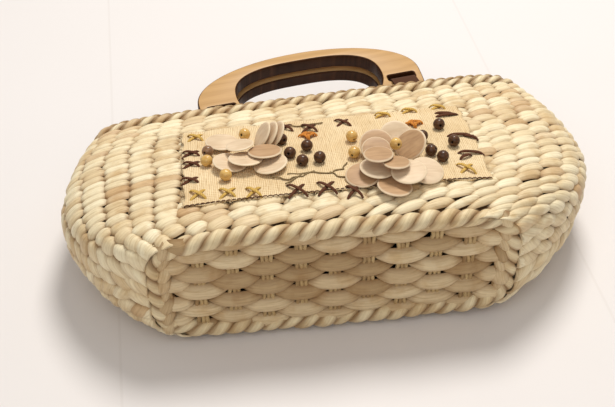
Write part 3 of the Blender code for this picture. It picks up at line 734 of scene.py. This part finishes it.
def make_base():
    parts = []
    for row in range(BASE_ROWS):
        limit = 0.1015 - (0.008 if row in (0, BASE_ROWS - 1) else 0.0)
        x = BASE_MIDDLE_X + (np.arange(-6, 6) + 0.5 * (row % 2)) * 2 * STAKE_PITCH
        reach = np.abs(x - BASE_MIDDLE_X)
        x, reach = x[reach < 0.104], reach[reach < 0.104]
        side = np.sign(x - BASE_MIDDLE_X)
        outer = np.minimum(reach + HUSK_REACH, limit + np.where(reach > 0.07, 0.0030, 0.0))
        half = (outer - (reach - HUSK_REACH)) / 2
        x = BASE_MIDDLE_X + side * (outer - half)
        heights = BASE_LOW_Z + row * BASE_ROW_PITCH + RNG.uniform(-0.0008, 0.0008, len(x))
        parts.append(husks(on_base, x, heights, half, 0.0061, (1, 1), 0.0, 0.0045, 0.0058, 0.0042,
                           along=19, across=12, fullness=2.5))
    heights = np.array([0.013, 0.0205, 0.029, 0.038, 0.0465, 0.055, 0.0635, 0.071])
    for side in (-1, 1):
        across = BASE_MIDDLE_X + side * (0.0985 + RNG.uniform(-0.0012, 0.0006, len(heights)))
        wide = np.full(len(heights), 0.0042)
        wide[2] = 0.0064
        parts.append(husks(on_base_end, heights, across, 0.0078, wide, (1, 1), -0.0022 * side, 0.0050,
                           0.0046, 0.0030, along=15, across=10))
    points, faces, uv, depth = join_husks(parts)
    bag_piece("straw", ["woven_base"], "base_weave", points, faces, BASE_STRAW, uv, depth)

    tubes = []
    for k in range(-5, 6):
        for strand in (-1, 0, 1):
            z = np.linspace(0.007, 0.0765, 60)
            row = (z - BASE_LOW_Z) / BASE_ROW_PITCH
            x = BASE_MIDDLE_X + k * STAKE_PITCH + strand * 0.0025 + 0.0002 * np.sin(z * 900 + strand * 2)
            y = BASE_Y + 0.0040 + 0.0012 * np.cos(math.pi * (row - k))
            path = np.stack([x, y, z], axis=-1)
            tubes.append(tube(path, 0.0013, 7, reference=(0.0, 1.0, 0.0)))
    sew("base_stakes", tubes, STAKE_STRAW, "straw")

    # Painted shade: a dark disc under the base husks, seen through the gaps.
    count = 96
    edge = outline(0.0, count, inset=0.006)
    edge[:, 1] = BASE_Y + 0.0058
    points = np.concatenate([edge, edge.mean(axis=0)[None]])
    faces = [(i, (i + 1) % count, count) for i in range(count)]
    bag_piece("straw", [], "base_core", points, faces, STRAW_SHADOW_SHEET)


def make_lining():
    rings, count = 40, 200
    s, t = np.meshgrid(np.linspace(0, 1, count, endpoint=False), np.linspace(0.066, 0.975, rings))
    points, normals = on_wall(s, t)
    ripple = 0.0004 * np.sin(s * 150 + 4 * np.sin(t * 9)) * np.sin(t * 3.1)
    ripple += 0.0003 * np.sin(t * 60 + 3 * np.sin(s * 40))
    wall = points - (0.0050 + ripple)[..., None] * normals
    base = wall[0]
    middle = base.mean(axis=0)
    cap = [middle + (base - middle) * share for share in (0.02, 0.25, 0.5, 0.75, 0.93)]
    for ring in cap:
        ring[:, 1] = base[:, 1] - 0.0002
    cloth = np.concatenate([np.stack(cap), wall])
    uv = np.stack([s * 0.62, t * BODY_HEIGHT], axis=-1)
    cap_uv = np.stack([np.stack([ring[:, 0], ring[:, 2]], axis=-1) for ring in cap])
    uv = np.concatenate([cap_uv, uv])
    faces = grid_faces(1, rings + len(cap), count, wrap_columns=True)
    piece = new_mesh("lining_cloth", cloth, faces, LINING, uv)
    thicken(piece, 0.0008)
    finish_piece(piece, "bag", "lining_fabric", "fabric_lining")
    stitches = []
    for k in range(150):
        at = np.array([k + 0.15, k + 0.5, k + 0.80]) / 150
        spot, normal = on_wall(at, np.full(3, 0.952))
        depth = np.array([0.0056, 0.0060, 0.0056])[:, None]
        stitches.append(tube(spot - normal * depth, 0.00028, 5))
    sew("hem_stitching", stitches, STEM_YARN, "lining_fabric")


def make_pocket():
    low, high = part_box("inner_pocket")
    columns, rows = 60, 40
    x, y = np.meshgrid(np.linspace(low[0], high[0], columns), np.linspace(low[1], high[1], rows))
    u = (x - low[0]) / (high[0] - low[0]) * 2 - 1
    v = (y - low[1]) / (high[1] - low[1])
    puff = 0.0016 * (1 - u**2) * np.sqrt(v) + 0.0003 * np.sin(u * 19 + v * 6)
    z = low[2] + 0.0006 + puff
    points, uv = np.stack([x, y, z], axis=-1), np.stack([x, y], axis=-1)
    piece = new_mesh("pocket_cloth", points, grid_faces(1, rows, columns), LINING, uv)
    thicken(piece, 0.0007)
    finish_piece(piece, "bag", "lining_fabric", "inner_pocket")


def patch_place(u, v):
    """x, and distance up from the base, at shares of the patch's width and height."""
    x = PATCH_LEFT + (PATCH_RIGHT - PATCH_LEFT) * u
    return x, PATCH_LOW + (PATCH_HIGH - PATCH_LOW) * v + PATCH_SKEW * x


def over_patch(x, up, lift):
    """A point over the front panel, lift above the basket's own surface."""
    return (x, BASE_Y + up, front_height(x, up) + lift)


def make_patch():
    """The burlap panel, with a wavy edge and puckers."""
    columns, rows = 180, 100
    points, uv = [], []
    for row in range(rows):
        v = row / (rows - 1)
        for column in range(columns):
            u = column / (columns - 1)
            wave = 0.0006 * math.sin(31 * u + 2) + 0.0005 * math.sin(67 * u)
            side = 0.0006 * math.sin(29 * v + 1) + 0.0004 * math.sin(53 * v)
            x = PATCH_LEFT + (PATCH_RIGHT - PATCH_LEFT) * u
            x += side * (1 if u > 0.5 else -1) * abs(2 * u - 1) ** 3
            up = PATCH_LOW + (PATCH_HIGH - PATCH_LOW) * v + PATCH_SKEW * x + wave * abs(2 * v - 1) ** 3
            pucker = 0.5 * math.sin(x * 210 + 3 * math.sin(up * 90)) * math.sin(up * 170 + 2)
            pucker += 0.5 * math.sin(x * 95 + up * 60)
            edge = min(u, 1 - u) * 12
            lift = 0.0014 + 0.0008 * pucker * min(1, edge) + 0.0003 * (1 - min(1, edge))
            points.append(over_patch(x, up, lift))
            uv.append((x, up))
    piece = new_mesh("burlap_cloth", points, grid_faces(1, rows, columns), BURLAP, uv)
    thicken(piece, 0.0007)
    finish_piece(piece, "bag", "burlap", "burlap_patch")
    return piece


def stitch(x, up, length, angle, lift, width):
    """One long stitch that rises out of the cloth and goes back in."""
    steps = np.linspace(-1, 1, 9)
    path = []
    for s in steps:
        px = x + s * length / 2 * math.cos(angle)
        pu = up + s * length / 2 * math.sin(angle)
        path.append(over_patch(px, pu, 0.0012 + (lift - 0.0008) * (1 - s**4)))
    radius = width * (1.0 - 0.35 * np.abs(steps) ** 3)
    return tube(path, radius, 7, flat=0.55)


# Places of the embroidery in mm, x and distance up from the base. Crosses have a width and a height,
# and leaf strokes a length and an angle in degrees.
BROWN_CROSSES = (
    (-84, 86, 11, 7), (-84, 72, 11, 7), (-85, 54, 11, 7), (-24, 110, 10, 12), (-9, 106, 10, 12),
    (13, 109, 10, 12), (-24, 32, 11, 13), (-7, 32, 11, 13), (8, 26, 9, 12),
)
YELLOW_CROSSES = ((-81, 109, 10, 10), (-81, 38, 10, 11), (-64, 36, 10, 11), (-49, 34, 9, 11),
                  (77, 41, 10, 11), (40, 116, 10, 5), (58, 119, 10, 5), (77, 121, 10, 6))
ORANGE_STARS = ((-11, 95), (57, 99))
LEAF_STROKES = ((80, 107, 17, 8), (79, 110, 14, -12), (82, 79, 16, -4), (88, 76, 10, -30),
                (84, 58, 16, -10), (80, 54, 9, 25))


def make_embroidery():
    brown, yellow, orange = [], [], []
    for group, places in ((brown, BROWN_CROSSES), (yellow, YELLOW_CROSSES)):
        for x, up, wide, tall in places:
            length = math.hypot(wide, tall) / 1000
            angle = math.atan2(tall, wide)
            for sign, lift in ((1, 0.0024), (-1, 0.0036)):
                group.append(stitch(x / 1000, up / 1000, length, sign * angle, lift, 0.0011))
    for x, up, length, degrees in LEAF_STROKES:
        brown.append(stitch(x / 1000, up / 1000, length / 1000, math.radians(degrees), 0.0030, 0.0012))
    for x, up in ORANGE_STARS:
        for k in range(9):
            angle = k * 0.7 + 0.2
            dx, du = 3.0 * math.cos(k * 2.4), 2.4 * math.sin(k * 2.4)
            lift = 0.0026 + 0.0003 * (k % 3)
            orange.append(stitch((x + dx) / 1000, (up + du) / 1000, 0.0065, angle, lift, 0.0009))
    sew("brown_stitches", brown, BROWN_YARN, "burlap")
    sew("yellow_stitches", yellow, YELLOW_YARN, "burlap")
    sew("orange_stitches", orange, ORANGE_YARN, "burlap")


def make_stems():
    """Threads between the beads, stitches along the patch's lower edge and its frayed ends."""
    routes = (
        ((-41, 54), (-34, 46), (-28, 44), (-20, 46), (-12, 50)),
        ((-30, 39), (-22, 46), (-16, 50)),
        ((-28, 49), (-16, 49), (-3, 47), (5, 50), (8, 56)),
        ((-3, 47), (4, 41), (12, 38)),
        ((57, 75), (62, 70), (64, 65)),
        ((-22, 112), (-12, 110), (0, 113)),
    )
    tubes = []
    for route in routes:
        knots = np.array(route, dtype=float) / 1000
        at = np.linspace(0, len(knots) - 1, 40)
        x = np.interp(at, range(len(knots)), knots[:, 0]) + 0.0006 * np.sin(at * 7)
        up = np.interp(at, range(len(knots)), knots[:, 1]) + 0.0006 * np.cos(at * 5)
        path = [over_patch(px, pu, 0.0024) for px, pu in zip(x, up)]
        tubes.append(tube(path, 0.00045, 6))
    sew("stem_threads", tubes, STEM_YARN, "burlap")
    edge = []
    for k in range(60):
        x, up = patch_place((k + 0.5) / 60, 0)
        edge.append(stitch(x, up + 0.0004, 0.0034, 0.10, 0.0020, 0.00045))
    sew("edge_stitches", edge, BROWN_YARN, "burlap")
    fringe = []
    for k in range(170):
        u = RNG.uniform(0, 1)
        side = k % 4
        if side < 2:
            x, up = patch_place(u, side)
            dx, du = RNG.uniform(-0.001, 0.001), (-1 if side == 0 else 1) * RNG.uniform(0.0006, 0.0022)
        else:
            x, up = patch_place(side - 2, u)
            dx, du = (-1 if side == 2 else 1) * RNG.uniform(0.0006, 0.0020), RNG.uniform(-0.001, 0.001)
        path = [over_patch(x + dx * s, up + du * s, 0.0014 + 0.0004 * math.sin(3 * s))
                for s in (-0.6, 0.0, 0.5, 1.0)]
        fringe.append(tube(path, 0.00022, 4))
    sew("burlap_fringe", fringe, BURLAP, "burlap")


# ---------------------------------------------------------------- discs and beads

def lathe(profile_points, segments):
    """Points and faces of a profile of (radius, height) turned about Z."""
    turn = np.linspace(0, 2 * math.pi, segments, endpoint=False)
    rings = np.array(profile_points)
    points = np.stack([
        rings[:, None, 0] * np.cos(turn), rings[:, None, 0] * np.sin(turn),
        np.repeat(rings[:, None, 1], segments, axis=1)], axis=-1)
    return points, grid_faces(1, len(rings), segments, False, True)


def centre_of(node):
    low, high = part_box(node)
    return (np.array(low) + np.array(high)) / 2


def make_discs():
    for name, (tip_x, tip_y, radius) in DISCS.items():
        r = radius / 1000
        section = [(0.0002, 0.00080), (r * 0.5, 0.00084), (r * 0.80, 0.00080), (r - 0.0012, 0.00072),
                   (r - 0.0005, 0.00050), (r - 0.00012, 0.00022), (r, 0.0)]
        section += [(x, -z) for x, z in section[::-1][1:]]
        points, faces = lathe(section, 72)
        turn = Matrix.Rotation(math.radians(tip_x) + PANEL_SLOPE, 4, "X")
        turn = turn @ Matrix.Rotation(math.radians(tip_y), 4, "Y")
        turn = np.array(turn.to_3x3() @ Matrix.Rotation(RNG.uniform(0, 6.28), 3, "Z"))
        placed = points @ turn.T + centre_of(name)
        shares = np.array([x / r for x, _ in section])
        # Painted highlight: the outermost part of each disc turns paler.
        rim_highlight = np.repeat(np.clip((shares - 0.90) / 0.06, 0, 1)[:, None], 72, axis=1)
        material = BROWN_AND_SHADED_DISC if name in BROWN_AND_SHADED_DISCS else PALE_DISC
        bag_piece("petal_wood", [name], name.replace("petal", "disc"), placed, faces, material, None, rim_highlight)


def make_beads():
    for node in sorted(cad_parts):
        if "bead" not in node:
            continue
        angles = [math.pi * (0.5 - k / 14) * 0.84 for k in range(15)]
        section = [(0.0037 * math.cos(angle), 0.0037 * 0.98 * math.sin(angle)) for angle in angles]
        section = [(0.00055, section[0][1] - 0.0008)] + section + [(0.00055, section[-1][1] + 0.0008)]
        points, faces = lathe(section, 32)
        turn = Matrix.Rotation(RNG.uniform(0.6, 2.2), 3, "X")
        turn = turn @ Matrix.Rotation(RNG.uniform(-0.8, 0.8), 3, "Y")
        placed = points @ np.array(turn).T + centre_of(node)
        # Painted shade at the two ends of the hole.
        hole_shade = np.zeros(points.shape[:2])
        hole_shade[0] = hole_shade[-1] = 1.0
        if node.startswith("dark"):
            material, slot = DARK_BEAD, "dark_wood"
        elif node == "pale_bead_6":
            material, slot = BROWN_BEAD, "pale_wood"
        else:
            material, slot = YELLOW_BEAD, "pale_wood"
        bag_piece(slot, [node], node.replace("bead", "round_bead"), placed, faces, material, None, hole_shade)


# ---------------------------------------------------------------- handles

def arch(half, foot, top, roundness, steps):
    """One side of a handle's outline, from the right foot over the top to the left foot."""
    points = [(foot + (half - foot) * math.sin(math.pi / 2 * k / LEG_STEPS),
               LEG_END + (ARCH_START - LEG_END) * k / LEG_STEPS) for k in range(LEG_STEPS)]
    for step in range(steps + 1):
        turn = math.pi * step / steps
        across = math.copysign(abs(math.cos(turn)) ** (2 / roundness), math.cos(turn))
        rise = math.sin(turn) ** (2 / roundness) if 0 < step < steps else 0.0
        points.append((half * across, ARCH_START + (top - ARCH_START) * rise))
    points += [(-x, y) for x, y in reversed(points[:LEG_STEPS])]
    return points


def smooth_loop(loop, rounds):
    for _ in range(rounds):
        loop = (np.roll(loop, 1, axis=0) + 2 * loop + np.roll(loop, -1, axis=0)) / 4
    return loop


def inset_loop(loop, distance):
    ahead = loop_direction(loop)
    return loop + distance * np.stack([-ahead[:, 1], ahead[:, 0]], axis=-1)


def make_handle(name, hinge, rise, body, node):
    outer = arch(OUTER_HALF, OUTER_FOOT, OUTER_TOP, OUTER_ROUND, 120)
    inner = arch(INNER_HALF, INNER_FOOT, INNER_TOP, INNER_ROUND, 100)
    loops = [smooth_loop(even_loop(outer + inner[::-1], 0.0011)[0], 7)]
    for side in (-1, 1):
        left, right = side * SLOT_MIDDLE - SLOT_HALF_WIDTH, side * SLOT_MIDDLE + SLOT_HALF_WIDTH
        slot = [(left, SLOT_LOW), (left, SLOT_HIGH), (right, SLOT_HIGH), (right, SLOT_LOW)]
        loops.append(smooth_loop(even_loop(slot, 0.0008)[0], 3))
    half, radius = HANDLE_THICKNESS / 2, 0.0013
    levels = []
    for k in range(5):
        angle = math.pi / 2 * k / 4
        levels.append((half - radius + radius * math.cos(angle), radius * (1 - math.sin(angle))))
    levels += [(-z, inset) for z, inset in levels[::-1]]
    points, uv, starts = [], [], []
    for z, inset in levels:
        starts.append(len(points))
        for loop in loops:
            for x, y in inset_loop(loop, inset):
                points.append((x, y, z))
                uv.append((x, y))
    count = sum(len(loop) for loop in loops)
    faces = []
    for above, below in zip(starts, starts[1:]):
        first = 0
        for loop in loops:
            size = len(loop)
            for i in range(size):
                j = (i + 1) % size
                faces.append((above + first + i, above + first + j, below + first + j, below + first + i))
            first += size
    flat = [[Vector((x, y, 0.0)) for x, y in inset_loop(loop, levels[0][1])] for loop in loops]
    for start in (starts[0], starts[-1]):
        for cap in tessellate_polygon(flat):
            faces.append(tuple(start + i for i in cap))
    turn = Matrix.Translation((HANDLE_X, *hinge)) @ Matrix.Rotation(math.atan(HANDLE_SKEW), 4, "Z")
    turn = turn @ Matrix.Rotation(rise, 4, "X")
    mesh = bpy.data.meshes.new(name)
    mesh.from_pydata([turn @ Vector(point) for point in points], [], faces)
    layer = mesh.uv_layers.new(name="strand")
    for loop in mesh.loops:
        layer.data[loop.index].uv = uv[loop.vertex_index]
    work = bmesh.new()
    work.from_mesh(mesh)
    bmesh.ops.recalc_face_normals(work, faces=work.faces)
    work.to_mesh(mesh)
    work.free()
    mesh.materials.append(HANDLE_FACE)
    mesh.materials.append(HANDLE_EDGE)
    for polygon in mesh.polygons:
        level = min(polygon.vertices) // count
        polygon.use_smooth = True
        polygon.material_index = 1 if len(polygon.vertices) == 4 and 1 <= level <= 8 else 0
    mesh.set_sharp_from_angle(angle=math.radians(50))
    finish_piece(new_object(name, mesh), body, "handle_wood", node)


# ---------------------------------------------------------------- the scene

def dress_cad():
    """Materials of the parts that are shown as the CAD has them."""
    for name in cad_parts:
        if name not in bpy.data.objects:
            continue
        for ending, material in (("strap", TAPE), ("snap_half", METAL), ("base_board", BOARD)):
            if name.endswith(ending):
                for slot in bpy.data.objects[name].material_slots:
                    slot.material = material


def make_stage():
    mesh = bpy.data.meshes.new("floor")
    corners = [(-6.0, -6.0, 0), (6.0, -6.0, 0), (6.0, 6.0, 0), (-6.0, 6.0, 0)]
    mesh.from_pydata(corners, [], [(0, 1, 2, 3)])
    mesh.materials.append(floor_material())
    floor = new_object("floor", mesh)
    floor.location.z = -0.0012


def add_area(name, place, target, size, power, colour):
    data = bpy.data.lights.new(name, "AREA")
    data.shape = "DISK"
    data.size = size
    data.energy = power
    data.color = colour
    lamp = new_object(name, data)
    lamp.location = place
    lamp.rotation_euler = (Vector(target) - Vector(place)).to_track_quat("-Z", "Y").to_euler()


def make_lights():
    world = bpy.data.worlds.new("studio")
    bpy.context.scene.world = world
    world.use_nodes = True
    background = world.node_tree.nodes["Background"]
    background.inputs["Color"].default_value = (1.0, 0.985, 0.96, 1.0)
    background.inputs["Strength"].default_value = 0.42
    add_area("key", (0.22, 0.50, 1.30), (0.0, 0.0, 0.03), 0.50, 16.0, (1.0, 0.98, 0.94))
    add_area("fill", (-0.25, -1.0, 1.2), (0.0, 0.0, 0.03), 1.4, 5.0, (1.0, 0.98, 0.95))
    bpy.context.scene.view_settings.view_transform = "Standard"


def make_camera():
    azimuth, elevation, roll = math.radians(5.68), math.radians(40.44), math.radians(-1.29)
    distance = 0.69
    target = np.array([-0.0144, -0.0464, 0.04])
    forward = np.array([math.sin(azimuth) * math.cos(elevation),
                        math.cos(azimuth) * math.cos(elevation), -math.sin(elevation)])
    right = np.cross(forward, (0.0, 0.0, 1.0))
    right /= np.linalg.norm(right)
    up = np.cross(right, forward)
    turned_right = right * math.cos(roll) + up * math.sin(roll)
    turned_up = up * math.cos(roll) - right * math.sin(roll)
    place = target - forward * distance
    data = bpy.data.cameras.new("camera")
    data.sensor_width = 36.0
    data.lens = 64.4
    camera = new_object("camera", data)
    axes = np.stack([turned_right, turned_up, -forward], axis=1)
    camera.matrix_world = Matrix([[*axes[row], place[row]] for row in range(3)] + [[0, 0, 0, 1]])
    bpy.context.scene.camera = camera


make_camera()
make_wall()
make_cords()
make_base()
make_lining()
make_pocket()
patch = make_patch()
make_embroidery()
make_stems()
make_discs()
make_beads()
make_handle("front_handle_wood", FRONT_HINGE, FRONT_RAISE, "front_handle_body", "front_handle")
make_handle("back_handle_wood", BACK_HINGE, BACK_RAISE, "back_handle_body", "back_handle")
dress_cad()
make_stage()
make_lights()
